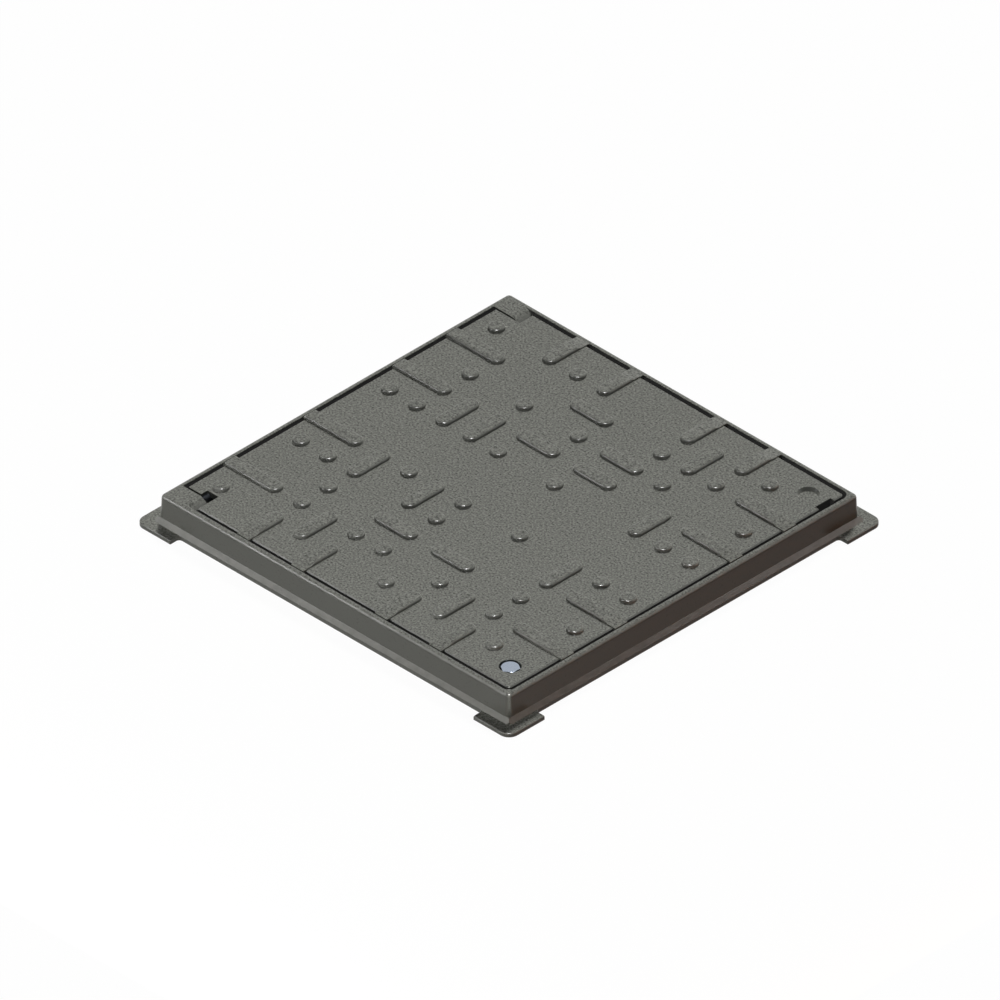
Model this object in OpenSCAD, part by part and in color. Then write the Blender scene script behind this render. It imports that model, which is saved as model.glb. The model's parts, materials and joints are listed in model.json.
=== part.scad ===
// Hinged square access cover with its frame: ductile iron, lockable, dot and bar tread.
// +Z is up, z = 0 is the bedding face under the corner tabs, and the origin is the middle of the square.
// The hinge edge faces -X and the lock edge faces +X.

/* [Frame] */
// Outer width of the square rim
frame_w = 600; // [580:5:800]
// Height from the bedding face to the rim
frame_h = 44; // [42:1:60]
// Width of the rim's top face
rim_w = 7.5; // [6:0.5:10]
// Rounding of the rim's outer top edge
rim_r = 4.75; // [1:0.25:5]
// Plan radius of the frame's outer corners
corner_r = 7; // [5:0.5:8]
// How far the outer wall leans out at its foot
wall_draft = 1; // [0.5:0.1:3]
// Reach of the base flange beyond the rim
flange_reach = 5.5; // [4:0.25:12]
// Plan radius of the flange's corners
flange_r = 7; // [3:0.5:10]
// Thickness of the base, which is the flange's edge and the corner tabs
base_t = 5.5; // [4:0.25:6]
// Rise of the flange from its edge to the wall
flange_rise = 6.9; // [3:0.1:7]

/* [Corner tabs] */
// Reach of a tab beyond the rim
tab_reach = 21; // [19:0.5:40]
// Length of a tab along each side, from its outer corner
tab_len = 61; // [45:1:100]
// Plan radius of a tab's outer corner
tab_r = 14; // [6:1:18]
// Rounding of a tab's top edge
tab_edge = 1.6; // [0.4:0.2:3]
// Plan radius where a tab's end runs into the flange
tab_fillet = 5; // [2:0.5:8]

/* [Seat] */
// Depth of the seat ledge below the rim
seat_depth = 21; // [20:0.5:22]
// Width of the seat ledge
seat_w = 20.5; // [16:0.5:21]
// Thickness of the seat ledge
seat_t = 7; // [5:0.5:7]
// Width of the rubber strips on the seat
strip_w = 12; // [8:0.5:15]
// Thickness of the rubber strips
strip_t = 2; // [1:0.25:3]
// Slack between the strips and the closed cover
strip_slack = 0.3; // [0.2:0.05:0.6]

/* [Cover] */
// Gap between the cover's edge and the rim
cover_gap = 5.25; // [5:0.25:8]
// Plan radius of the cover's corners
cover_r = 5; // [3:0.5:10]
// Thickness of the cover's plate
plate_t = 8; // [7:0.5:9]
// Chamfer along the plate's top edge
plate_edge = 1.4; // [0.4:0.1:1.6]
// Thickness of the skirt that stands on the seat
skirt_t = 8; // [6:0.5:12]
// Pitch of the stiffening ribs
rib_pitch = 66; // [50:1:90]
// Thickness of a rib
rib_t = 6; // [4:0.5:8]
// Depth of the ribs below the plate
rib_depth = 18; // [10:0.5:19]

/* [Tread] */
// Height of the tread above the plate
tread_h = 4.5; // [3:0.25:5]
// Pitch of the tread's columns
col_pitch = 46.5; // [44:0.25:48]
// Pitch of the tread's rows
row_pitch = 45.75; // [44:0.25:48]
// Distance of the first column from the middle
col_start = 25.25; // [24:0.25:28]
// Distance of the first row from the middle, either side of the plain band
row_start = 53.25; // [50:0.25:55]
// Diameter of a stud at its foot
stud_d = 22.5; // [16:0.5:28]
// Width of a bar at its foot
bar_w = 21.5; // [14:0.5:26]
// How far the sides of the tread lean in
tread_lean = 1.2; // [0.5:0.1:2.5]
// Rounding of the tread's top edge
tread_edge = 1.2; // [0.4:0.1:2]
// Gap between the rim and the outer end of a bar, which bridges the cover's gap
bar_gap = 1; // [0.8:0.1:3]
// Length over which a bar slopes down to its outer end
ramp_len = 22; // [12:1:30]
// Height of a sloped bar at its outer end
ramp_h = 1; // [0.5:0.1:2]

/* [Hinge] */
// Length of a hinge ear along the side, from the rim's outer face
ear_len = 53.5; // [50:0.5:56]
// Width of a hinge ear, from the rim's outer face
ear_w = 33.5; // [32:0.5:40]
// Radius of the ear's rounded end
ear_r = 18; // [16:0.5:20]
// Gap between an ear's side and the cover
ear_gap = 3; // [2:0.25:5]
// Gap between an ear's end and the cover
ear_end_gap = 1; // [0.8:0.1:3]
// Gap between the hinge wall and the cover's tail as it swings past
swing_gap = 0.8; // [0.5:0.1:1.2]
// Depth of the hinge axis below the rim
hinge_depth = 10; // [9:0.25:10.5]
// Diameter of a hinge pin
pin_d = 12; // [8:0.5:12]
// Radial clearance of a hinge pin where it turns in its ear
pin_fit = 0.1; // [0.05:0.01:0.1]
// Depth of a hinge pin in its ear
pin_hold = 21; // [14:0.5:23]
// Distance of a cover lug from its ear
lug_gap = 16.5; // [16:0.5:24]
// Width of a cover lug
lug_w = 25; // [18:0.5:30]
// Radius of a cover lug round its pin
lug_r = 11; // [10:0.5:13]
// Diameter of the roll pin that holds a hinge pin
roll_pin_d = 4; // [3:0.5:5]
// Length of a roll pin
roll_pin_len = 17; // [15:0.5:17]
// Wall of a roll pin
roll_pin_wall = 0.8; // [0.5:0.1:1]
// Chamfer on the ends of a hinge pin
pin_chamfer = 1; // [0.4:0.1:2]

/* [Hand openings] */
// Length of the lifting notch in the lock edge
notch_len = 26; // [16:1:40]
// Depth of the lifting notch into the cover
notch_depth = 6.25; // [4:0.25:7]
// Distance of the lifting notch's middle from the rim's outer face
notch_inset = 43; // [38:0.5:50]
// Width of the hinge window beside the left ear
window_w = 11; // [8:0.5:12]
// Distance from the hinge window's far edge to the ear's end
window_len = 18; // [14:0.5:18]

/* [Lock] */
// Gap between the lock's boss and the seat ledge at the lock edge
boss_gap_x = 2.5; // [1.5:0.25:6]
// Gap between the lock's boss and the seat ledge at the left edge
boss_gap_y = 4.5; // [1.5:0.25:8]
// Diameter of the counterbore round the bolt's head
well_d = 28; // [27:0.5:30]
// Depth of the bolt's head below the plate's top
head_sink = 0.8; // [0.2:0.1:2]
// Width of the bolt's head across its flats
head_af = 22; // [18:0.5:23]
// Height of the bolt's head
head_h = 7; // [5:0.25:7]
// Diameter of the bolt's shank
shank_d = 14; // [14:0.25:15]
// Radial clearance of the shank in its bore
shank_fit = 0.1; // [0.05:0.01:0.1]
// Width of the square that drives the latch
square_w = 9.6; // [9:0.1:9.8]
// Diameter of the threaded end
thread_d = 9.6; // [8:0.1:10]
// Section diameter of the sealing ring
ring_d = 1.8; // [1.2:0.1:2.2]
// Outer radius of the boss round the shank
boss_r = 13.5; // [11:0.25:14]
// Wall round the floor of the counterbore
well_wall = 5; // [3:0.25:5]
// Thickness of the counterbore's floor
well_floor = 7; // [5:0.5:8]
// Reach of the turned latch under the seat ledge
latch_bite = 14; // [8:0.5:14.5]
// Width of the latch
latch_w = 20; // [14:0.5:24]
// Thickness of the latch
latch_t = 5; // [4:0.25:5]
// Running gap above the latch, to the seat ledge
latch_gap = 0.7; // [0.5:0.05:1]
// Thickness of the flat washer
washer_t = 1.2; // [0.8:0.1:1.4]
// Thickness of the spring washer
spring_t = 1.6; // [1.2:0.1:1.8]
// Outer diameter of the washers
washer_d = 20; // [17:0.5:22]
// Split in the spring washer
spring_split = 2; // [1:0.5:4]
// Height of the thin nut
nut_h = 4.5; // [4:0.1:4.6]
// Width of the nut across its flats
nut_af = 17; // [15:0.5:19]
// Diameter of the blind recess for a second lock
blank_d = 28; // [20:0.5:30]
// Depth of the blind recess
blank_depth = 4.5; // [2:0.25:5]
// Distance of the blind recess from the rim's outer face at the lock edge
blank_inset_x = 45; // [43:0.5:48]
// Distance of the blind recess from the rim's outer face at the right edge
blank_inset_y = 42; // [41:0.5:50]

/* [Hidden] */
$fn = 48;
// Overlap that joins solids of one casting
bite = 1;
// Clearance of pieces that are fixed in one another
snug = 0.05;
half_w = frame_w / 2;
corner_line = half_w - corner_r;
inner_half = half_w - rim_w;
seat_z = frame_h - seat_depth;
ledge_z = seat_z - seat_t;
clear_half = inner_half - seat_w;
tab_half = half_w + tab_reach;
flange_half = half_w + flange_reach;
flange_top = base_t + flange_rise;
// Line inside the wall where the solids of the frame begin
wall_root = inner_half + bite;

cover_half = inner_half - cover_gap;
bar_end = inner_half - bar_gap;
plate_z = frame_h - plate_t;
skirt_z = seat_z + strip_t + strip_slack;
rib_z = plate_z - rib_depth;

ear_end = ear_len - half_w;
ear_face = half_w - ear_w;
hinge_x = ear_end - ear_r;
hinge_z = frame_h - hinge_depth;
swing_r = inner_half + hinge_x - swing_gap;
notch_x = ear_end + ear_end_gap;
notch_y = ear_face - ear_gap;
lug_out = ear_face - lug_gap;
lug_in = lug_out - lug_w;
pin_len = ear_face + pin_hold - lug_in;

hinge_rib_x = notch_x + rib_t;
rib_count = floor((clear_half - rib_t) / rib_pitch);
rib_reach = rib_count * rib_pitch + rib_t / 2;

lock_x = clear_half - boss_gap_x - boss_r;
lock_y = boss_r + boss_gap_y - clear_half;
latch_len = boss_r + boss_gap_x + latch_bite;
bore_r = shank_d / 2 + shank_fit;
head_top = frame_h - head_sink;
head_z = head_top - head_h;
well_z = head_z - 2 * shank_fit;
boss_z = ledge_z - latch_gap / 2;
latch_z = ledge_z - latch_gap - latch_t;
washer_z = latch_z - washer_t;
spring_z = washer_z - spring_t;
nut_z = spring_z - nut_h;
thread_z = nut_z - bite / 2;
groove_r = shank_d / 2 - ring_d + shank_fit / 2;
groove_z = well_z - well_floor / 2;

last_col = 11;
last_row = 9;
// Studs of the tread, as column and row
studs = [
    [0, 0], [3, 0], [10, 0], [7, 1], [9, 1],
    [1, 2], [3, 2], [5, 2], [8, 2], [11, 2],
    [0, 4], [1, 4], [4, 4], [6, 4], [10, 4], [11, 4],
    [3, 5], [5, 5], [7, 5], [10, 5], [11, 5],
    [0, 6], [1, 6], [5, 6], [2, 7], [9, 7], [11, 7],
    [2, 8], [4, 8], [5, 8], [7, 8], [9, 8], [0, 9], [6, 9], [10, 9]
];
// Bars along X, as first column, last column and row. Columns -1 and 12 are the bars' ends at the rim
bars_x = [
    [-1, 1, 1], [4, 5, 1], [10, 12, 1], [6, 7, 2],
    [-1, 1, 3], [4, 5, 3], [6, 7, 3], [10, 12, 3],
    [-1, 1, 5], [10, 12, 6], [4, 5, 7], [6, 7, 7], [-1, 1, 8], [10, 12, 8]
];
// Bars along Y, as column, first row and last row. Rows -1 and 10 are the bars' ends at the rim
bars_y = [
    [2, -1, 0], [4, -1, 0], [7, -1, 0], [9, -1, 0], [8, 0, 1],
    [2, 3, 4], [3, 3, 4], [9, 3, 4], [2, 5, 6], [4, 5, 6], [9, 5, 6],
    [3, 8, 9], [8, 8, 9], [2, 9, 10], [4, 9, 10], [7, 9, 10], [9, 9, 10]
];

iron = [0.40, 0.40, 0.38];
steel = [0.66, 0.69, 0.72];
rubber = [0.10, 0.10, 0.10];

// Place of a tread column or row; those beyond the first and the last are the bars' ends at the rim
function lattice(i, last, start, pitch) =
    let (mid = (last + 1) / 2)
    i < mid ? -start - pitch * (mid - 1 - i) : start + pitch * (i - mid);
function col_x(i) =
    i < 0 ? -bar_end : i > last_col ? bar_end : lattice(i, last_col, col_start, col_pitch);
function row_y(j) =
    j < 0 ? bar_end : j > last_row ? -bar_end : -lattice(j, last_row, row_start, row_pitch);

// Points of a convex quarter round from the side face to the top face
function round_over(x, y, r) = [for (a = [0, 30, 60, 90]) [x - r + r * cos(a), y - r + r * sin(a)]];

module at_ends() {
    children();
    mirror([0, 1, 0]) children();
}

module rounded_square(w, r) {
    square([w - 2 * r, w], center = true);
    square([w, w - 2 * r], center = true);
    for (x = [-1, 1], y = [-1, 1])
        translate([x, y] * (w / 2 - r)) circle(r);
}

// Section of the frame's outer side, from x = -inset outwards; x = 0 is the line of the corner centres
module side_section(inset) {
    foot_x = corner_r + wall_draft;
    polygon(concat(
        [[-inset, 0], [foot_x, 0], [foot_x, flange_top]],
        round_over(corner_r, frame_h, rim_r),
        [[-inset, frame_h]]
    ));
}

// Both sloped flanges along Y; two of these crossed leave mitred corners, which are then rounded
module flange_pair() {
    foot = half_w + wall_draft;
    rotate([90, 0, 0]) linear_extrude(2 * (flange_half + bite), center = true) polygon([
        [-flange_half, 0], [flange_half, 0], [flange_half, base_t],
        [foot, flange_top], [-foot, flange_top], [-flange_half, base_t]
    ]);
}

module frame_wall() {
    difference() {
        union() {
            translate([-corner_line, -corner_line, 0])
                cube([2 * corner_line, 2 * corner_line, frame_h]);
            for (turn = [0 : 90 : 270]) rotate(turn) {
                translate([corner_line, 0, 0]) rotate([90, 0, 0])
                    linear_extrude(2 * corner_line, center = true) side_section(bite);
                translate([corner_line, corner_line, 0])
                    rotate_extrude(angle = 90) side_section(0);
            }
            intersection() {
                flange_pair();
                rotate(90) flange_pair();
                linear_extrude(flange_top) rounded_square(2 * flange_half, flange_r);
            }
        }
        translate([0, 0, -bite])
            linear_extrude(frame_h + 2 * bite) rounded_square(2 * inner_half, cover_r + cover_gap);
    }
}

// Seat on three sides; the hinge side stays open for the cover's tail to swing down
module seat_ledge() {
    translate([0, 0, ledge_z]) linear_extrude(seat_t) difference() {
        square(2 * wall_root, center = true);
        translate([-inner_half, -clear_half]) square([inner_half + clear_half, 2 * clear_half]);
    }
}

module hinge_ear() {
    translate([0, ear_face, 0]) difference() {
        rotate([90, 0, 0]) mirror([0, 0, 1]) linear_extrude(wall_root - ear_face) {
            translate([-wall_root, ledge_z]) square([wall_root + hinge_x, frame_h - ledge_z]);
            intersection() {
                translate([hinge_x, frame_h - ear_r]) circle(ear_r);
                translate([hinge_x - ear_r, ledge_z]) square([2 * ear_r, frame_h - ledge_z]);
            }
        }
        translate([hinge_x, -bite, hinge_z]) rotate([-90, 0, 0])
            cylinder(r = pin_d / 2 + pin_fit, h = pin_hold + 2 * bite);
    }
}

// Section of a tab's outer edge; x = 0 is the line of the tab's corner centre
module tab_section(inset) {
    polygon(concat([[-inset, 0], [tab_r, 0]], round_over(tab_r, base_t, tab_edge), [[-inset, base_t]]));
}

module tab_arm() {
    run = tab_len - tab_r;
    line = tab_half - tab_r;
    translate([line, line - run / 2, 0]) rotate([90, 0, 0])
        linear_extrude(run, center = true) tab_section(line - wall_root);
    translate([flange_half - bite, tab_half - tab_len - tab_fillet, 0])
        linear_extrude(base_t) difference() {
            square([tab_fillet + bite, tab_fillet + bite]);
            translate([tab_fillet + bite, 0]) circle(tab_fillet);
        }
}

module corner_tab() {
    tab_arm();
    mirror([1, -1, 0]) tab_arm();
    translate([1, 1, 0] * (tab_half - tab_r)) rotate_extrude(angle = 90) tab_section(0);
}

module frame() {
    color(iron) {
        frame_wall();
        seat_ledge();
        at_ends() hinge_ear();
        for (turn = [0 : 90 : 270]) rotate(turn) corner_tab();
    }
}

module chamfer_section() {
    polygon([[-plate_edge, bite], [-plate_edge, 0], [0, -plate_edge], [bite, -plate_edge], [bite, bite]]);
}

// Top edge of the plate, cut at 45 degrees along one side of the square and round its corner
module plate_chamfer() {
    straight = cover_half - cover_r;
    translate([cover_half, 0, frame_h]) rotate([90, 0, 0])
        linear_extrude(2 * straight, center = true) chamfer_section();
    translate([straight, straight, frame_h])
        rotate_extrude(angle = 90) translate([cover_r, 0]) chamfer_section();
}

module plate() {
    difference() {
        translate([0, 0, plate_z]) linear_extrude(plate_t) rounded_square(2 * cover_half, cover_r);
        for (turn = [0 : 90 : 270]) rotate(turn) plate_chamfer();
    }
}

// Skirt on the lock edge and the two sides; none on the hinge edge
module skirt() {
    translate([0, 0, skirt_z]) linear_extrude(plate_z + bite - skirt_z) difference() {
        rounded_square(2 * cover_half, cover_r);
        translate([-cover_half - bite, skirt_t - cover_half])
            square([2 * cover_half + bite - skirt_t, 2 * (cover_half - skirt_t)]);
    }
}

module rib_grid() {
    span_x = rib_reach - hinge_rib_x;
    translate([0, 0, rib_z]) linear_extrude(rib_depth + bite) {
        for (i = [-rib_count : rib_count])
            translate([hinge_rib_x, i * rib_pitch - rib_t / 2]) square([span_x, rib_t]);
        for (i = [-rib_count : rib_count])
            if (i * rib_pitch > hinge_rib_x + rib_t)
                translate([i * rib_pitch - rib_t / 2, -rib_reach]) square([rib_t, 2 * rib_reach]);
        translate([hinge_rib_x, -rib_reach]) square([rib_t, 2 * rib_reach]);
    }
}

// Half of the tread's section, standing on the plate's top
function tread_points(r) = concat(
    [[r, -2 * plate_edge], [r, 0]],
    [for (p = round_over(r - tread_lean, tread_h, tread_edge)) p]
);

module stud_section(r) {
    polygon(concat([[0, -2 * plate_edge]], tread_points(r), [[0, tread_h]]));
}

module bar_section(r) {
    right = tread_points(r);
    polygon(concat(right, [for (i = [len(right) - 1 : -1 : 0]) [-right[i][0], right[i][1]]]));
}

// Room above the slope at a bar's outer end
module ramp_cut() {
    rotate([90, 0, 0]) linear_extrude(bar_w + bite, center = true) polygon([
        [-bite, ramp_h], [0, ramp_h], [ramp_len, tread_h], [ramp_len, tread_h + bite], [-bite, tread_h + bite]
    ]);
}

// A bar along X, with a round end in the field, a slope at the rim, and a plain end at the hinge
module tread_bar(run, start, end) {
    difference() {
        rotate([90, 0, 90]) linear_extrude(run) bar_section(bar_w / 2);
        if (start == "slope") ramp_cut();
        if (end == "slope") translate([run, 0, 0]) mirror([1, 0, 0]) ramp_cut();
    }
    if (start == "round") rotate(90) rotate_extrude(angle = 180) stud_section(bar_w / 2);
    if (end == "round")
        translate([run, 0, 0]) rotate(-90) rotate_extrude(angle = 180) stud_section(bar_w / 2);
}

module tread() {
    translate([0, 0, frame_h]) {
        for (s = studs)
            translate([col_x(s[0]), row_y(s[1]), 0]) rotate_extrude() stud_section(stud_d / 2);
        for (b = bars_x)
            translate([col_x(b[0]), row_y(b[2]), 0])
                tread_bar(col_x(b[1]) - col_x(b[0]),
                          b[0] < 0 ? "plain" : "round", b[1] > last_col ? "slope" : "round");
        for (b = bars_y)
            translate([col_x(b[0]), row_y(b[2]), 0]) rotate(90)
                tread_bar(row_y(b[1]) - row_y(b[2]),
                          b[2] > last_row ? "slope" : "round", b[1] < 0 ? "slope" : "round");
    }
}

// Lug under the plate round a hinge pin, tied to the rib beside the hinge
module hinge_lug() {
    translate([hinge_x, lug_in, hinge_z]) rotate([90, 0, 0]) mirror([0, 0, 1]) linear_extrude(lug_w)
        intersection() {
            union() {
                circle(lug_r);
                translate([-lug_r, 0]) square([2 * lug_r, hinge_depth]);
                translate([0, -lug_r / 2]) square([hinge_rib_x + bite - hinge_x, hinge_depth]);
            }
            translate([-lug_r, -lug_r]) square([2 * lug_r + ear_len, lug_r + plate_z + bite - hinge_z]);
        }
}

module lock_boss() {
    translate([lock_x, lock_y, 0]) {
        translate([0, 0, boss_z]) cylinder(r = boss_r, h = plate_z - boss_z);
        translate([0, 0, well_z - well_floor])
            cylinder(r = well_d / 2 + well_wall, h = plate_z + bite - well_z + well_floor);
    }
}

module lock_bore() {
    translate([lock_x, lock_y, 0]) {
        translate([0, 0, boss_z - bite]) cylinder(r = bore_r, h = frame_h - boss_z);
        translate([0, 0, well_z]) cylinder(d = well_d, h = frame_h);
    }
}

// Room for an ear, and the bores of its pin and roll pin
module hinge_cuts() {
    translate([-half_w, notch_y, 0]) cube([half_w + notch_x, ear_w, 2 * frame_h]);
    translate([hinge_x, lug_in - bite, hinge_z]) rotate([-90, 0, 0])
        cylinder(r = pin_d / 2 + snug, h = pin_len);
    translate([hinge_x, (lug_in + lug_out) / 2, hinge_z - lug_r - bite])
        cylinder(r = roll_pin_d / 2 + snug, h = roll_pin_len + bite + snug);
}

// What the hinge wall leaves no room for when the cover's tail swings down past it
module swing_cut() {
    reach = half_w + hinge_x;
    translate([hinge_x, 0, hinge_z]) rotate([90, 0, 0]) linear_extrude(frame_w, center = true) difference() {
        translate([-reach, 0]) square([reach, frame_h]);
        circle(swing_r);
    }
}

module hand_openings() {
    translate([cover_half - notch_depth, half_w - notch_inset - notch_len / 2, 0])
        cube([2 * notch_depth, notch_len, 2 * frame_h]);
    translate([ear_end - window_len, -notch_y - bite, 0])
        cube([window_len + ear_end_gap, window_w + bite, 2 * frame_h]);
}

module blind_recess() {
    translate([half_w - blank_inset_x, half_w - blank_inset_y, frame_h - blank_depth])
        cylinder(d = blank_d, h = frame_h);
}

module cover() {
    color(iron) difference() {
        union() {
            plate();
            skirt();
            rib_grid();
            at_ends() hinge_lug();
            lock_boss();
            tread();
        }
        at_ends() hinge_cuts();
        swing_cut();
        hand_openings();
        lock_bore();
        blind_recess();
    }
}

// Pin along Y, fixed in the cover's lug and turning in the frame's ear
module hinge_pin() {
    r = pin_d / 2;
    tip_r = r - pin_chamfer;
    color(steel) difference() {
        translate([hinge_x, lug_in, hinge_z]) rotate([-90, 0, 0]) rotate_extrude()
            polygon([[0, 0], [tip_r, 0], [r, pin_chamfer], [r, pin_len - pin_chamfer],
                     [tip_r, pin_len], [0, pin_len]]);
        translate([hinge_x, (lug_in + lug_out) / 2, hinge_z - pin_d])
            cylinder(r = roll_pin_d / 2 + snug, h = 2 * pin_d);
    }
}

module right_hinge_pin() { hinge_pin(); }
module left_hinge_pin() { mirror([0, 1, 0]) hinge_pin(); }

// Slotted spring steel tube driven up through the lug and its pin
module roll_pin() {
    color(steel) translate([hinge_x, (lug_in + lug_out) / 2, hinge_z - lug_r])
        linear_extrude(roll_pin_len) difference() {
            circle(d = roll_pin_d);
            circle(d = roll_pin_d - 2 * roll_pin_wall);
            translate([0, -roll_pin_wall / 2]) square([roll_pin_d, roll_pin_wall]);
        }
}

module right_roll_pin() { roll_pin(); }
module left_roll_pin() { mirror([0, 1, 0]) roll_pin(); }

strip_mid = cover_half - skirt_t / 2;
module lock_side_seat_strip() {
    color(rubber) translate([strip_mid - strip_w / 2, -strip_mid - strip_w / 2, seat_z])
        cube([strip_w, 2 * strip_mid + strip_w, strip_t]);
}

module right_seat_strip() {
    color(rubber) translate([notch_x, strip_mid - strip_w / 2, seat_z])
        cube([strip_mid - strip_w / 2 - notch_x, strip_w, strip_t]);
}

module left_seat_strip() { mirror([0, 1, 0]) right_seat_strip(); }

module hex(af, h) { rotate(30) cylinder(d = af / cos(30), h = h, $fn = 6); }

module lock_bolt() {
    chamfer = (head_af / cos(30) - head_af) / 2;
    shank_r = shank_d / 2;
    color(steel) translate([lock_x, lock_y, 0]) {
        translate([0, 0, head_z]) intersection() {
            hex(head_af, head_h);
            rotate_extrude() polygon([[0, 0], [head_af, 0], [head_af, head_h - chamfer],
                [head_af / 2 + chamfer, head_h - chamfer / 2], [head_af / 2, head_h], [0, head_h]]);
        }
        rotate_extrude() polygon([
            [0, latch_z + latch_t], [shank_r, latch_z + latch_t], [shank_r, groove_z - ring_d / 2],
            [groove_r, groove_z - ring_d / 2], [groove_r, groove_z + ring_d / 2],
            [shank_r, groove_z + ring_d / 2], [shank_r, head_z + bite], [0, head_z + bite]
        ]);
        translate([-square_w / 2, -square_w / 2, latch_z]) cube([square_w, square_w, latch_t + bite]);
        translate([0, 0, thread_z]) cylinder(d = thread_d, h = latch_z + bite - thread_z);
    }
}

// Ring in the shank's groove, which keeps grit and water out of the bore
module lock_seal_ring() {
    color(rubber) translate([lock_x, lock_y, groove_z]) rotate_extrude()
        translate([groove_r + ring_d / 2, 0]) circle(d = ring_d - 2 * snug, $fn = 24);
}

// Latch at rest turned away from the seat ledge, along +Y
module lock_latch() {
    color(steel) translate([lock_x, lock_y, latch_z]) linear_extrude(latch_t) difference() {
        union() {
            circle(boss_r - 2 * snug);
            translate([-latch_w / 2, 0]) square([latch_w, latch_len - latch_w / 4]);
            intersection() {
                translate([0, latch_len - latch_w]) circle(latch_w);
                translate([-latch_w / 2, 0]) square([latch_w, latch_len]);
            }
        }
        square(square_w + 2 * snug, center = true);
    }
}

module washer_ring() {
    difference() {
        circle(d = washer_d);
        circle(d = thread_d + 4 * snug);
    }
}

module lock_washer() {
    color(steel) translate([lock_x, lock_y, washer_z]) linear_extrude(washer_t) washer_ring();
}

module lock_spring_washer() {
    color(steel) translate([lock_x, lock_y, spring_z]) linear_extrude(spring_t) difference() {
        washer_ring();
        translate([0, -spring_split / 2]) square([washer_d, spring_split]);
    }
}

module lock_nut() {
    color(steel) translate([lock_x, lock_y, nut_z]) difference() {
        hex(nut_af, nut_h);
        translate([0, 0, -bite]) cylinder(d = thread_d + 2 * snug, h = nut_h + 2 * bite);
    }
}

frame();
cover();
left_hinge_pin();
right_hinge_pin();
left_roll_pin();
right_roll_pin();
lock_side_seat_strip();
left_seat_strip();
right_seat_strip();
lock_bolt();
lock_seal_ring();
lock_latch();
lock_washer();
lock_spring_washer();
lock_nut();
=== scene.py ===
# Looks of the hinged square manhole cover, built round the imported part.
import json
import math

import bmesh
import bpy
from mathutils import Matrix, Vector


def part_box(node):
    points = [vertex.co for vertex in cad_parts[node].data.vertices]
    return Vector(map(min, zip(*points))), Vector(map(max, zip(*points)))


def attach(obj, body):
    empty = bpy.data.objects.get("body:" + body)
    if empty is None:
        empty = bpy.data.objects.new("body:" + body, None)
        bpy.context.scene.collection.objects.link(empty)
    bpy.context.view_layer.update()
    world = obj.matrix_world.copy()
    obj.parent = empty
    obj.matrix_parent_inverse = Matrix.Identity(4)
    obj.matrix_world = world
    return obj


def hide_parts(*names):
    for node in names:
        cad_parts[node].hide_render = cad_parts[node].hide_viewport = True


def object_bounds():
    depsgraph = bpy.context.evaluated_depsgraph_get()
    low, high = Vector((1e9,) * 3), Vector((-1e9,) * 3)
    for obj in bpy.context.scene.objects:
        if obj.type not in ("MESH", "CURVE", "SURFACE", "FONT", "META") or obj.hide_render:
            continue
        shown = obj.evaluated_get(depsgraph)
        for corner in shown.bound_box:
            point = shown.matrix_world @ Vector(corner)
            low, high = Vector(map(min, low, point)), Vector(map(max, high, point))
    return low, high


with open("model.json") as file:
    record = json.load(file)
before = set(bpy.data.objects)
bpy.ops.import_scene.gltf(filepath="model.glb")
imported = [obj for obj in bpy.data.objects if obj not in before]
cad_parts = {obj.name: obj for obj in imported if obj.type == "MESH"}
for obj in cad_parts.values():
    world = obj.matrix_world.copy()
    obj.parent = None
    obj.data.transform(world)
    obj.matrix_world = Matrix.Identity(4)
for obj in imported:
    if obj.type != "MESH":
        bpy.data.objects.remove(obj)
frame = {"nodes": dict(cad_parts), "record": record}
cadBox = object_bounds()
mm = 0.001
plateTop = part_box("frame")[1][2]
treadTop = cadBox[1][2]
print("frame loaded:", len(frame["nodes"]), "nodes")

# A Mix node's sockets share their names, so they are reached by number
mixFactor = 0
firstValue, secondValue, mixedValue = 2, 3, 0
firstColour, secondColour, mixedColour = 6, 7, 2


def linear(hexColour):
    channels = [int(hexColour[i:i + 2], 16) / 255 for i in (1, 3, 5)]
    return [c / 12.92 if c <= 0.04045 else ((c + 0.055) / 1.055) ** 2.4 for c in channels] + [1.0]


def addNode(tree, kind, settings=None, links=None):
    # settings name a node's own option or one of its sockets, links go from an output to a socket
    node = tree.nodes.new(kind)
    for name, value in (settings or {}).items():
        if isinstance(name, int) or name in node.inputs:
            node.inputs[name].default_value = value
        else:
            setattr(node, name, value)
    for name, output in (links or {}).items():
        tree.links.new(output, node.inputs[name])
    return node


def newMaterial(name):
    material = bpy.data.materials.new(name)
    material.use_nodes = True
    tree = material.node_tree
    return material, tree, tree.nodes["Principled BSDF"]


def setRamp(node, places, colours):
    ramp = node.color_ramp.elements
    while len(ramp) < len(places):
        ramp.new(1.0)
    for element, place, colour in zip(ramp, places, colours):
        element.position = place
        element.color = linear(colour)


def awayFromMiddle(tree, source):
    # how far a place lies, or a face turns, along X and along Y, to whichever side
    size = addNode(tree, "ShaderNodeVectorMath", {"operation": "ABSOLUTE"}, {0: source})
    return addNode(tree, "ShaderNodeSeparateXYZ", links={"Vector": size.outputs["Vector"]}).outputs


def seenRays(tree):
    # 1 for what the eye and shiny metal look at, straight or through glass, 0 for light on dull surfaces
    path = addNode(tree, "ShaderNodeLightPath").outputs
    seen = addNode(tree, "ShaderNodeMath", {"operation": "MAXIMUM"},
                   {0: path["Is Camera Ray"], 1: path["Is Glossy Ray"]})
    through = addNode(tree, "ShaderNodeMath", {"operation": "MAXIMUM"},
                      {0: seen.outputs["Value"], 1: path["Is Transmission Ray"]})
    return through.outputs["Value"]


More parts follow.
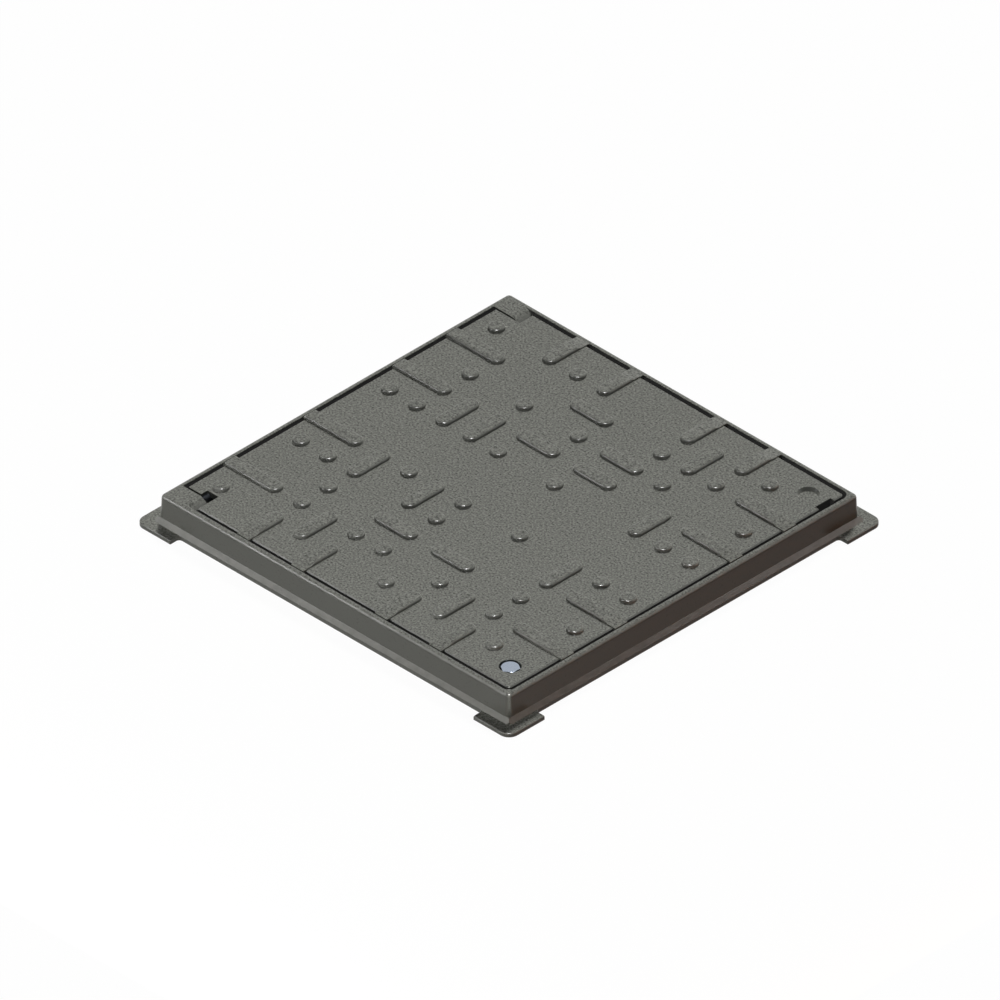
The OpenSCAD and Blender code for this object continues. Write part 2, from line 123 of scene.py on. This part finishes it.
# Ductile iron from a sand mould, dipped in a grey coating: dull, with the sand's grain on its flat tops,
# drawn coarser than it is so that it shows, its light and dark specks partly painted sheen; the coating is
# lighter along every rounded edge and foot, partly from rubbing and partly painted highlight, with painted
# highlight on the slopes near the bed and painted shade in the gap round the cover
castIronLook = {
    "tone": "#6b6c66",  # the coating where it stands upright, without grain
    # light and dark specks of the grain, only on faces that look up: partly grain, partly painted sheen
    "grainSheenDark": "#4d4e49",
    "grainSheenLight": "#8b8c85",
    "grainSheenStops": (0.32, 0.68),
    "grainMm": 2.6,
    "grainDetail": 2.0,
    "grainFineness": 0.6,
    "flatTop": (0.55, 0.92),  # how far up a face looks where the grain starts and where it is full
    # lighter on sloping faces: partly rubbing of the coating, partly painted highlight on rounded edges and
    # slopes
    "wornAndHighlight": "#8a8b85",
    "wornHighlightSlope": (0.22, 0.42, 0.72, 0.93),  # how far up a face looks where the rubbing and painted highlight come and go
    "wornHighlightMm": 14,
    "wornHighlightDetail": 3.0,
    "wornHighlightPatches": (0.3, 0.6),
    "wornHighlightLeast": 0.6,
    "bedSlopeHighlight": "#868680",  # painted highlight that takes the place of the lighter rubbing near the bed
    "bedSlopeHighlightMm": (13.5, 12),
    "bareMm": (293, 13),  # where the upright corners are, and how far to either side
    "bareTurn": (0.35, 0.65),
    "bareMetal": 0.75,
    # painted shade in the gap round the cover, where little light gets in: a dark colour, and dull
    "gapShade": "#2b2a27",
    "gapShadeMm": (286.2, 7.3),  # where the gap round the cover is, and how far to either side
    "gapShadeTopMm": 42.5,
    "gapShadeLowerMm": 8,  # a level face is shaded only this much lower than an upright one
    "gapShadeRoughness": 0.9,
    "blotchMm": 90,
    "blotchDetail": 3.0,
    "blotch": (0.96, 1.04),
    "roughness": (0.24, 0.34),
    "specular": 0.16,
    "bumpMm": 0.25,
    "bump": 0.35,
}


def wornHighlightShare(tree, look, place, facing):
    # the coating is lighter where a face slopes, in some patches more than in others: partly rubbing, partly
    # painted highlight
    slope = addNode(tree, "ShaderNodeValToRGB", links={"Fac": facing["Z"]})
    setRamp(slope, look["wornHighlightSlope"], ("#000000", "#ffffff", "#ffffff", "#000000"))
    patches = addNode(tree, "ShaderNodeTexNoise",
                      {"Scale": 1 / (look["wornHighlightMm"] * mm), "Detail": look["wornHighlightDetail"]},
                      {"Vector": place["Object"]})
    patchiness = addNode(tree, "ShaderNodeMapRange",
                     {"From Min": look["wornHighlightPatches"][0], "From Max": look["wornHighlightPatches"][1],
                      "To Min": look["wornHighlightLeast"]},
                     {"Value": patches.outputs["Fac"]})
    share = addNode(tree, "ShaderNodeMath", {"operation": "MULTIPLY"},
                    {0: slope.outputs["Color"], 1: patchiness.outputs["Result"]})
    return share.outputs["Value"]


def bareShare(tree, look, place, away):
    # bare iron shines through on the upright corners, which are knocked and dragged when it is handled
    turns = awayFromMiddle(tree, place["Normal"])
    nearer = addNode(tree, "ShaderNodeMath", {"operation": "MINIMUM"}, {0: away["X"], 1: away["Y"]})
    atCorner = addNode(tree, "ShaderNodeMath",
                       {"operation": "COMPARE", 1: look["bareMm"][0] * mm, 2: look["bareMm"][1] * mm},
                       {0: nearer.outputs["Value"]})
    between = addNode(tree, "ShaderNodeMath", {"operation": "MINIMUM"}, {0: turns["X"], 1: turns["Y"]})
    turned = addNode(tree, "ShaderNodeMapRange",
                     {"From Min": look["bareTurn"][0], "From Max": look["bareTurn"][1],
                      "To Max": look["bareMetal"]},
                     {"Value": between.outputs["Value"]})
    share = addNode(tree, "ShaderNodeMath", {"operation": "MULTIPLY"},
                    {0: atCorner.outputs["Value"], 1: turned.outputs["Result"]})
    return share.outputs["Value"]


def gapShadeShare(tree, look, height, facing, away):
    # painted shade fills the gap round the cover: upright sides nearly to their top, level faces only deep
    # down
    further = addNode(tree, "ShaderNodeMath", {"operation": "MAXIMUM"}, {0: away["X"], 1: away["Y"]})
    inGap = addNode(tree, "ShaderNodeMath",
                    {"operation": "COMPARE", 1: look["gapShadeMm"][0] * mm, 2: look["gapShadeMm"][1] * mm},
                    {0: further.outputs["Value"]})
    raised = addNode(tree, "ShaderNodeMath", {"operation": "MULTIPLY_ADD", 1: look["gapShadeLowerMm"] * mm},
                     {0: facing["Z"], 2: height})
    under = addNode(tree, "ShaderNodeMath", {"operation": "LESS_THAN", 1: look["gapShadeTopMm"] * mm},
                    {0: raised.outputs["Value"]})
    share = addNode(tree, "ShaderNodeMath", {"operation": "MULTIPLY"},
                    {0: inGap.outputs["Value"], 1: under.outputs["Value"]})
    return share.outputs["Value"]


def makeCastIron(look):
    material, tree, shader = newMaterial("coatedCastIron")
    place = addNode(tree, "ShaderNodeTexCoord").outputs
    height = addNode(tree, "ShaderNodeSeparateXYZ", links={"Vector": place["Object"]}).outputs["Z"]
    facing = addNode(tree, "ShaderNodeSeparateXYZ", links={"Vector": place["Normal"]}).outputs
    away = awayFromMiddle(tree, place["Object"])

    # the coating, with grain on what looks up, its light and dark specks partly painted sheen
    flatTop = addNode(tree, "ShaderNodeMapRange",
                      {"From Min": look["flatTop"][0], "From Max": look["flatTop"][1]},
                      {"Value": facing["Z"]})
    grain = addNode(tree, "ShaderNodeTexNoise",
                    {"Scale": 1 / (look["grainMm"] * mm), "Detail": look["grainDetail"],
                     "Roughness": look["grainFineness"]},
                    {"Vector": place["Object"]})
    sheenSpeckle = addNode(tree, "ShaderNodeValToRGB", links={"Fac": grain.outputs["Fac"]})
    setRamp(sheenSpeckle, look["grainSheenStops"], (look["grainSheenDark"], look["grainSheenLight"]))
    coat = addNode(tree, "ShaderNodeMix", {"data_type": "RGBA", firstColour: linear(look["tone"])},
                   {mixFactor: flatTop.outputs["Result"], secondColour: sheenSpeckle.outputs["Color"]})

    # what time did to it, and painted light: rubbing that is partly painted highlight, painted highlight
    # at its foot, painted shade in the gap, and blotches all over
    nearBed = addNode(tree, "ShaderNodeMapRange",
                      {"From Min": look["bedSlopeHighlightMm"][0] * mm, "From Max": look["bedSlopeHighlightMm"][1] * mm},
                      {"Value": height})
    paleHighlight = addNode(tree, "ShaderNodeMix",
                   {"data_type": "RGBA", firstColour: linear(look["wornAndHighlight"]),
                    secondColour: linear(look["bedSlopeHighlight"])},
                   {mixFactor: nearBed.outputs["Result"]})
    wornAndHighlight = addNode(tree, "ShaderNodeMix", {"data_type": "RGBA"},
                   {mixFactor: wornHighlightShare(tree, look, place, facing),
                    firstColour: coat.outputs[mixedColour], secondColour: paleHighlight.outputs[mixedColour]})
    # painted shade in the gap round the cover
    gapShaded = gapShadeShare(tree, look, height, facing, away)
    gapDarkened = addNode(tree, "ShaderNodeMix", {"data_type": "RGBA", secondColour: linear(look["gapShade"])},
                     {mixFactor: gapShaded, firstColour: wornAndHighlight.outputs[mixedColour]})
    blotch = addNode(tree, "ShaderNodeTexNoise",
                     {"Scale": 1 / (look["blotchMm"] * mm), "Detail": look["blotchDetail"]},
                     {"Vector": place["Object"]})
    shade = addNode(tree, "ShaderNodeMapRange", {"To Min": look["blotch"][0], "To Max": look["blotch"][1]},
                    {"Value": blotch.outputs["Fac"]})
    tinted = addNode(tree, "ShaderNodeHueSaturation",
                     links={"Color": gapDarkened.outputs[mixedColour], "Value": shade.outputs["Result"]})

    dull = addNode(tree, "ShaderNodeMapRange",
                   {"To Min": look["roughness"][0], "To Max": look["roughness"][1]},
                   {"Value": grain.outputs["Fac"]})
    dullest = addNode(tree, "ShaderNodeMix", {secondValue: look["gapShadeRoughness"]},
                      {mixFactor: gapShaded, firstValue: dull.outputs["Result"]})
    relief = addNode(tree, "ShaderNodeMath", {"operation": "MULTIPLY"},
                     {0: grain.outputs["Fac"], 1: flatTop.outputs["Result"]})
    bump = addNode(tree, "ShaderNodeBump", {"Strength": look["bump"], "Distance": look["bumpMm"] * mm},
                   {"Height": relief.outputs["Value"]})
    shader.inputs["Specular IOR Level"].default_value = look["specular"]
    tree.links.new(tinted.outputs["Color"], shader.inputs["Base Color"])
    tree.links.new(bareShare(tree, look, place, away), shader.inputs["Metallic"])
    tree.links.new(dullest.outputs[mixedValue], shader.inputs["Roughness"])
    tree.links.new(bump.outputs["Normal"], shader.inputs["Normal"])
    return material


# Turned stainless steel: bright and slightly cold, with fine tool lines
stainlessLook = {
    "dark": "#939ca9",
    "light": "#a1aab7",
    "toneStops": (0.3, 0.7),
    "lineMm": 0.35,
    "lineDetail": 3.0,
    "lineStretch": 14,
    "roughness": (0.12, 0.22),
    "bumpMm": 0.02,
    "bump": 0.1,
}
# Blackened steel, oiled: near black, smooth, with uneven oil
darkSteelLook = {
    "dark": "#17181a",
    "light": "#2a2c2f",
    "toneStops": (0.3, 0.7),
    "lineMm": 0.8,
    "lineDetail": 3.0,
    "lineStretch": 4,
    "roughness": (0.28, 0.5),
    "bumpMm": 0.02,
    "bump": 0.2,
}


def makeSteel(name, look):
    material, tree, shader = newMaterial(name)
    place = addNode(tree, "ShaderNodeTexCoord").outputs
    stretch = addNode(tree, "ShaderNodeMapping", {"Scale": (1, 1 / look["lineStretch"], 1)},
                      {"Vector": place["Object"]})
    lines = addNode(tree, "ShaderNodeTexNoise",
                    {"Scale": 1 / (look["lineMm"] * mm), "Detail": look["lineDetail"]},
                    {"Vector": stretch.outputs["Vector"]})
    tone = addNode(tree, "ShaderNodeValToRGB", links={"Fac": lines.outputs["Fac"]})
    setRamp(tone, look["toneStops"], (look["dark"], look["light"]))
    dull = addNode(tree, "ShaderNodeMapRange",
                   {"To Min": look["roughness"][0], "To Max": look["roughness"][1]},
                   {"Value": lines.outputs["Fac"]})
    bump = addNode(tree, "ShaderNodeBump", {"Strength": look["bump"], "Distance": look["bumpMm"] * mm},
                   {"Height": lines.outputs["Fac"]})
    shader.inputs["Metallic"].default_value = 1.0
    tree.links.new(tone.outputs["Color"], shader.inputs["Base Color"])
    tree.links.new(dull.outputs["Result"], shader.inputs["Roughness"])
    tree.links.new(bump.outputs["Normal"], shader.inputs["Normal"])
    return material


# Extruded EPDM rubber: near black and matt, with a dusty bloom
rubberLook = {
    "dark": "#191919",
    "light": "#2a2a29",
    "bloomStops": (0.35, 0.75),
    "bloomMm": 6,
    "bloomDetail": 4.0,
    "poreMm": 0.8,
    "poreDetail": 1.0,
    "roughness": 0.85,
    "bumpMm": 0.1,
    "bump": 0.25,
}


def makeRubber(look):
    material, tree, shader = newMaterial("epdmRubber")
    place = addNode(tree, "ShaderNodeTexCoord").outputs
    bloom = addNode(tree, "ShaderNodeTexNoise",
                    {"Scale": 1 / (look["bloomMm"] * mm), "Detail": look["bloomDetail"]},
                    {"Vector": place["Object"]})
    pores = addNode(tree, "ShaderNodeTexNoise",
                    {"Scale": 1 / (look["poreMm"] * mm), "Detail": look["poreDetail"]},
                    {"Vector": place["Object"]})
    tone = addNode(tree, "ShaderNodeValToRGB", links={"Fac": bloom.outputs["Fac"]})
    setRamp(tone, look["bloomStops"], (look["dark"], look["light"]))
    bump = addNode(tree, "ShaderNodeBump", {"Strength": look["bump"], "Distance": look["bumpMm"] * mm},
                   {"Height": pores.outputs["Fac"]})
    shader.inputs["Roughness"].default_value = look["roughness"]
    tree.links.new(tone.outputs["Color"], shader.inputs["Base Color"])
    tree.links.new(bump.outputs["Normal"], shader.inputs["Normal"])
    return material


finishes = {
    "cast_iron": makeCastIron(castIronLook),
    "stainless_steel": makeSteel("turnedStainlessSteel", stainlessLook),
    "dark_steel": makeSteel("blackenedSteel", darkSteelLook),
    "rubber": makeRubber(rubberLook),
}
print("materials made:", len(finishes))

# What each piece of the scene stands for: its body, its slot, and how far its sharp edges are broken
pieceSettings = {
    "frameCasting": {"node": "frame", "body": "frame", "slot": "cast_iron", "edgeMm": 0.6},
    "coverCasting": {"node": "cover", "body": "cover", "slot": "cast_iron", "edgeMm": 0},
    "lockSideSeatStrip": {"node": "lock_side_seat_strip", "body": "frame", "slot": "rubber", "edgeMm": 0.5},
    "leftSeatStrip": {"node": "left_seat_strip", "body": "frame", "slot": "rubber", "edgeMm": 0.5},
    "rightSeatStrip": {"node": "right_seat_strip", "body": "frame", "slot": "rubber", "edgeMm": 0.5},
}
edgeSettings = {
    "mergeMm": 0.002,
    "level": math.radians(0.5),  # faces that differ less become one
    "sharp": math.radians(50),  # outer edges that turn further are broken
    "breakSteps": 2,
    "bedMm": 0.05,  # edges that lie lower rest on the bed and stay
    "crease": math.radians(19),  # inner corners that turn further stay crisp
    "smooth": math.radians(31.5),  # faces that differ less are shaded as one surface
}


def isSharp(edge):
    onBed = all(vert.co.z < edgeSettings["bedMm"] * mm for vert in edge.verts)
    return not onBed and edge.is_convex and edge.calc_face_angle(0) > edgeSettings["sharp"]


def breakEdges(piece, width):
    mesh = bmesh.from_edit_mesh(piece.data)
    for element in [*mesh.verts, *mesh.edges, *mesh.faces]:
        element.select = False
    for edge in mesh.edges:
        edge.select = isSharp(edge)
    mesh.select_flush_mode()
    bmesh.update_edit_mesh(piece.data)
    bpy.ops.mesh.bevel(offset=width, segments=edgeSettings["breakSteps"], affect="EDGES", clamp_overlap=False)


def creaseInnerCorners(piece):
    mesh = bmesh.from_edit_mesh(piece.data)
    for edge in mesh.edges:
        edge.smooth = edge.is_convex or edge.calc_face_angle(0) < edgeSettings["crease"]
    bmesh.update_edit_mesh(piece.data)


# The tread's top edge is rounder than in the solids: each line of their arc moves out to the same angle of a
# larger arc, which starts lower down and a little outside the tread's side
treadRounding = {
    "solidMm": 1.2,
    "castMm": 3.0,
    "outsideMm": 0.8,
    "arcSteps": 3,
    "reachMm": 0.03,
    "sideFaces": (0.1, 0.98),  # how far up a face looks that counts as the tread's side
}


def roundTread(piece, rounding):
    low, high = rounding["sideFaces"]
    growth = rounding["castMm"] - rounding["solidMm"]
    mesh = bmesh.from_edit_mesh(piece.data)
    moves = []
    for step in range(rounding["arcSteps"] + 1):
        angle = math.pi / 2 * step / rounding["arcSteps"]
        depth = rounding["solidMm"] * (1 - math.sin(angle))
        inwards = growth * (1 - math.cos(angle)) - rounding["outsideMm"]
        drop = Vector((0, 0, growth * (1 - math.sin(angle))))
        for vert in mesh.verts:
            if abs((treadTop - vert.co.z) / mm - depth) < rounding["reachMm"]:
                sideFaces = [face for face in vert.link_faces if low < face.normal.z < high]
                outwards = sum((face.normal for face in sideFaces), Vector())
                outwards.z = 0
                moves.append((vert, -(outwards.normalized() * inwards + drop) * mm))
    for vert, move in moves:
        vert.co += move
    bmesh.update_edit_mesh(piece.data)


# The blind recess at the corner without a lock: its wall slopes in to a smaller foot, as cast
recessSettings = {"middleMm": (255, 258), "radiusMm": 14, "footMm": 11.5, "deeperMm": 1, "reachMm": 0.05}


def slopeRecess(piece, settings):
    middle = Vector(settings["middleMm"]) * mm
    mesh = bmesh.from_edit_mesh(piece.data)
    for vert in mesh.verts:
        spoke = vert.co.xy - middle
        onWall = abs(spoke.length / mm - settings["radiusMm"]) < settings["reachMm"]
        if onWall and vert.co.z < plateTop - settings["deeperMm"] * mm:
            vert.co.xy = middle + spoke * settings["footMm"] / settings["radiusMm"]
    bmesh.update_edit_mesh(piece.data)


def castCopy(name, settings):
    # a merged copy of the node with its edges worked over, which then stands for the node
    bpy.ops.object.select_all(action="DESELECT")
    piece = bpy.data.objects.new(name, frame["nodes"][settings["node"]].data.copy())
    bpy.context.scene.collection.objects.link(piece)
    piece.select_set(True)
    bpy.context.view_layer.objects.active = piece
    bpy.ops.mesh.customdata_custom_splitnormals_clear()
    bpy.ops.object.mode_set(mode="EDIT")
    bpy.ops.mesh.select_all(action="SELECT")
    bpy.ops.mesh.remove_doubles(threshold=edgeSettings["mergeMm"] * mm)
    bpy.ops.mesh.dissolve_limited(angle_limit=edgeSettings["level"])
    if settings["edgeMm"]:
        breakEdges(piece, settings["edgeMm"] * mm)
    if settings["node"] == "cover":
        roundTread(piece, treadRounding)
        slopeRecess(piece, recessSettings)
    creaseInnerCorners(piece)
    bpy.ops.object.mode_set(mode="OBJECT")
    bpy.ops.object.shade_smooth_by_angle(angle=edgeSettings["smooth"], keep_sharp_edges=True)
    weighted = piece.modifiers.new("flatFaces", "WEIGHTED_NORMAL")
    weighted.keep_sharp = True
    bpy.ops.object.modifier_apply(modifier=weighted.name)
    piece.data.materials.clear()
    piece.data.materials.append(finishes[settings["slot"]])
    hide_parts(settings["node"])
    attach(piece, settings["body"])
    return piece


for pieceName, settings in pieceSettings.items():
    made = castCopy(pieceName, settings)
    print(pieceName, len(made.data.polygons), "faces")

# The other nodes show as they are, in their own finish
replaced = {settings["node"] for settings in pieceSettings.values()}
slotOf = {sub["node"]: sub["material_slot"] for sub in frame["record"]["subparts"]}
for nodeName, node in frame["nodes"].items():
    if nodeName not in replaced:
        for slot in node.material_slots:
            slot.material = finishes[slotOf[nodeName]]
print("nodes finished:", len(frame["nodes"]) - len(replaced))

floorSettings = {
    "size": 12.0,
    "colour": "#f4f4f2",
    "bounce": "#3a3a39",
    "glow": "#ffffff",
    "glowShare": (0.02, 0.97),  # inside the frame and outside it
    "insideMm": 300,
}


def makeFloorPaper(settings):
    # White paper: the eye and shiny metal see it nearly white with a light shadow, bounce stays low, and
    # inside the frame it is left to the light that gets in
    material, tree, shader = newMaterial("paperSweep")
    tree.nodes.remove(shader)
    place = addNode(tree, "ShaderNodeTexCoord").outputs
    away = awayFromMiddle(tree, place["Object"])
    further = addNode(tree, "ShaderNodeMath", {"operation": "MAXIMUM"}, {0: away["X"], 1: away["Y"]})
    outside = addNode(tree, "ShaderNodeMath", {"operation": "GREATER_THAN", 1: settings["insideMm"] * mm},
                      {0: further.outputs["Value"]})
    glowShare = addNode(tree, "ShaderNodeMapRange",
                        {"To Min": settings["glowShare"][0], "To Max": settings["glowShare"][1]},
                        {"Value": outside.outputs["Value"]})
    paper = addNode(tree, "ShaderNodeBsdfDiffuse", {"Color": linear(settings["colour"])})
    glow = addNode(tree, "ShaderNodeEmission", {"Color": linear(settings["glow"]), "Strength": 1.0})
    dim = addNode(tree, "ShaderNodeBsdfDiffuse", {"Color": linear(settings["bounce"])})
    shown = addNode(tree, "ShaderNodeMixShader",
                    links={"Fac": glowShare.outputs["Result"],
                           1: paper.outputs["BSDF"], 2: glow.outputs["Emission"]})
    both = addNode(tree, "ShaderNodeMixShader",
                   links={"Fac": seenRays(tree), 1: dim.outputs["BSDF"], 2: shown.outputs["Shader"]})
    tree.links.new(both.outputs["Shader"], tree.nodes["Material Output"].inputs["Surface"])
    return material


bpy.ops.object.select_all(action="DESELECT")
bpy.ops.mesh.primitive_plane_add(size=floorSettings["size"], location=(0, 0, 0))
floor = bpy.context.active_object
floor.name = "paperFloor"
floor.data.materials.append(makeFloorPaper(floorSettings))

# The eye and shiny metal see a white backdrop, and dull surfaces get next to no light from it
worldSettings = {"backdrop": "#ffffff", "ambient": "#ffffff", "strength": 0.006}


def makeWorld(settings):
    world = bpy.data.worlds.new("studio")
    world.use_nodes = True
    tree = world.node_tree
    tree.nodes.clear()
    ambient = addNode(tree, "ShaderNodeBackground",
                      {"Color": linear(settings["ambient"]), "Strength": settings["strength"]})
    backdrop = addNode(tree, "ShaderNodeBackground", {"Color": linear(settings["backdrop"]), "Strength": 1.0})
    both = addNode(tree, "ShaderNodeMixShader",
                   links={"Fac": seenRays(tree),
                          1: ambient.outputs["Background"], 2: backdrop.outputs["Background"]})
    addNode(tree, "ShaderNodeOutputWorld", links={"Surface": both.outputs["Shader"]})
    return world


bpy.context.scene.world = makeWorld(worldSettings)
print("floor and backdrop set")

# A soft key from behind and a weak top lamp wash the casting, low strips stand close by at the left and the
# right, and small lamps further off only glint on rounded edges. The fill's narrow beam runs over the closed
# cover and lights its ribs when it stands open. Places and sizes are in metres, soft and spread in degrees
lampSettings = {
    "keyLamp": {"kind": "SUN", "at": (-1.05, 1.8, 2.55), "aim": (0, 0, 0), "power": 2.98,
                "soft": 10, "colour": "#ffffff", "gives": "wash"},
    "topPanel": {"kind": "AREA", "at": (0, -1.0, 2.3), "aim": (0, 0, 0), "power": 4.2,
                 "size": (0.8, 0.8), "colour": "#ffffff", "gives": "wash"},
    "topSpot": {"kind": "AREA", "at": (0.63, -0.63, 2.34), "aim": (0, 0, 0), "power": 350,
                "size": (0.3, 0.3), "colour": "#ffffff", "gives": "glint"},
    "leftStrip": {"kind": "AREA", "at": (-0.1, -1.0, 0.05), "aim": (-0.1, 0, 0.05), "power": 4.5,
                  "size": (2.0, 0.062), "colour": "#ffffff", "gives": "wash"},
    "leftGlint": {"kind": "AREA", "at": (-1.44, -1.75, 1.05), "aim": (0, 0, 0), "power": 42,
                  "size": (0.4, 0.4), "colour": "#ffffff", "gives": "glint"},
    "rightGlint": {"kind": "AREA", "at": (1.9, 1.44, 0.74), "aim": (0, 0, 0), "power": 5,
                   "size": (0.4, 0.4), "colour": "#ffffff", "gives": "glint"},
    "rightStrip": {"kind": "AREA", "at": (1.0, 0.05, 0.03), "aim": (0, 0.05, 0.03), "power": 0.9,
                   "size": (2.0, 0.05), "colour": "#ff9a3c", "gives": "wash"},
    "openFill": {"kind": "AREA", "at": (1.1, -0.5, 0.42), "aim": (-0.4, 0.1, 0.42), "power": 0.45,
                 "size": (0.9, 0.3), "spread": 16, "colour": "#ffffff", "gives": "wash"},
}


def addLamp(name, settings):
    place = Vector(settings["at"])
    bpy.ops.object.light_add(type=settings["kind"], location=place)
    lamp = bpy.context.active_object
    lamp.name = name
    lamp.rotation_mode = "QUATERNION"
    lamp.rotation_quaternion = (Vector(settings["aim"]) - place).to_track_quat("-Z", "Y")
    lamp.visible_camera = False
    lamp.visible_diffuse = settings["gives"] == "wash"
    lamp.visible_glossy = settings["gives"] == "glint"
    lamp.data.energy = settings["power"]
    lamp.data.color = linear(settings["colour"])[:3]
    if settings["kind"] == "SUN":
        lamp.data.angle = math.radians(settings["soft"])
    else:
        lamp.data.shape = "RECTANGLE"
        lamp.data.size, lamp.data.size_y = settings["size"]
    if "spread" in settings:
        lamp.data.spread = math.radians(settings["spread"])


for lampName, settings in lampSettings.items():
    addLamp(lampName, settings)
print("lamps placed:", len(lampSettings))

# Isometric view from above the front corner, set so that the rim's middle sits where the photograph has it
cameraSettings = {"width": 1.2126, "aim": (0, 0, 0.042), "left": 0.0110, "down": 0.0051, "away": 4.0}
viewRight = Vector((1, 1, 0)).normalized()
viewUp = Vector((-1, 1, 2)).normalized()
viewBack = viewRight.cross(viewUp)
bpy.ops.object.camera_add()
camera = bpy.context.active_object
camera.name = "photoCamera"
camera.data.type = "ORTHO"
camera.data.ortho_scale = cameraSettings["width"]
aim = Vector(cameraSettings["aim"]) - viewRight * cameraSettings["left"] - viewUp * cameraSettings["down"]
turn = Matrix((viewRight, viewUp, viewBack)).transposed().to_4x4()
camera.matrix_world = Matrix.Translation(aim + viewBack * cameraSettings["away"]) @ turn
bpy.context.scene.camera = camera
bpy.context.scene.view_settings.view_transform = "Standard"
print("camera set")
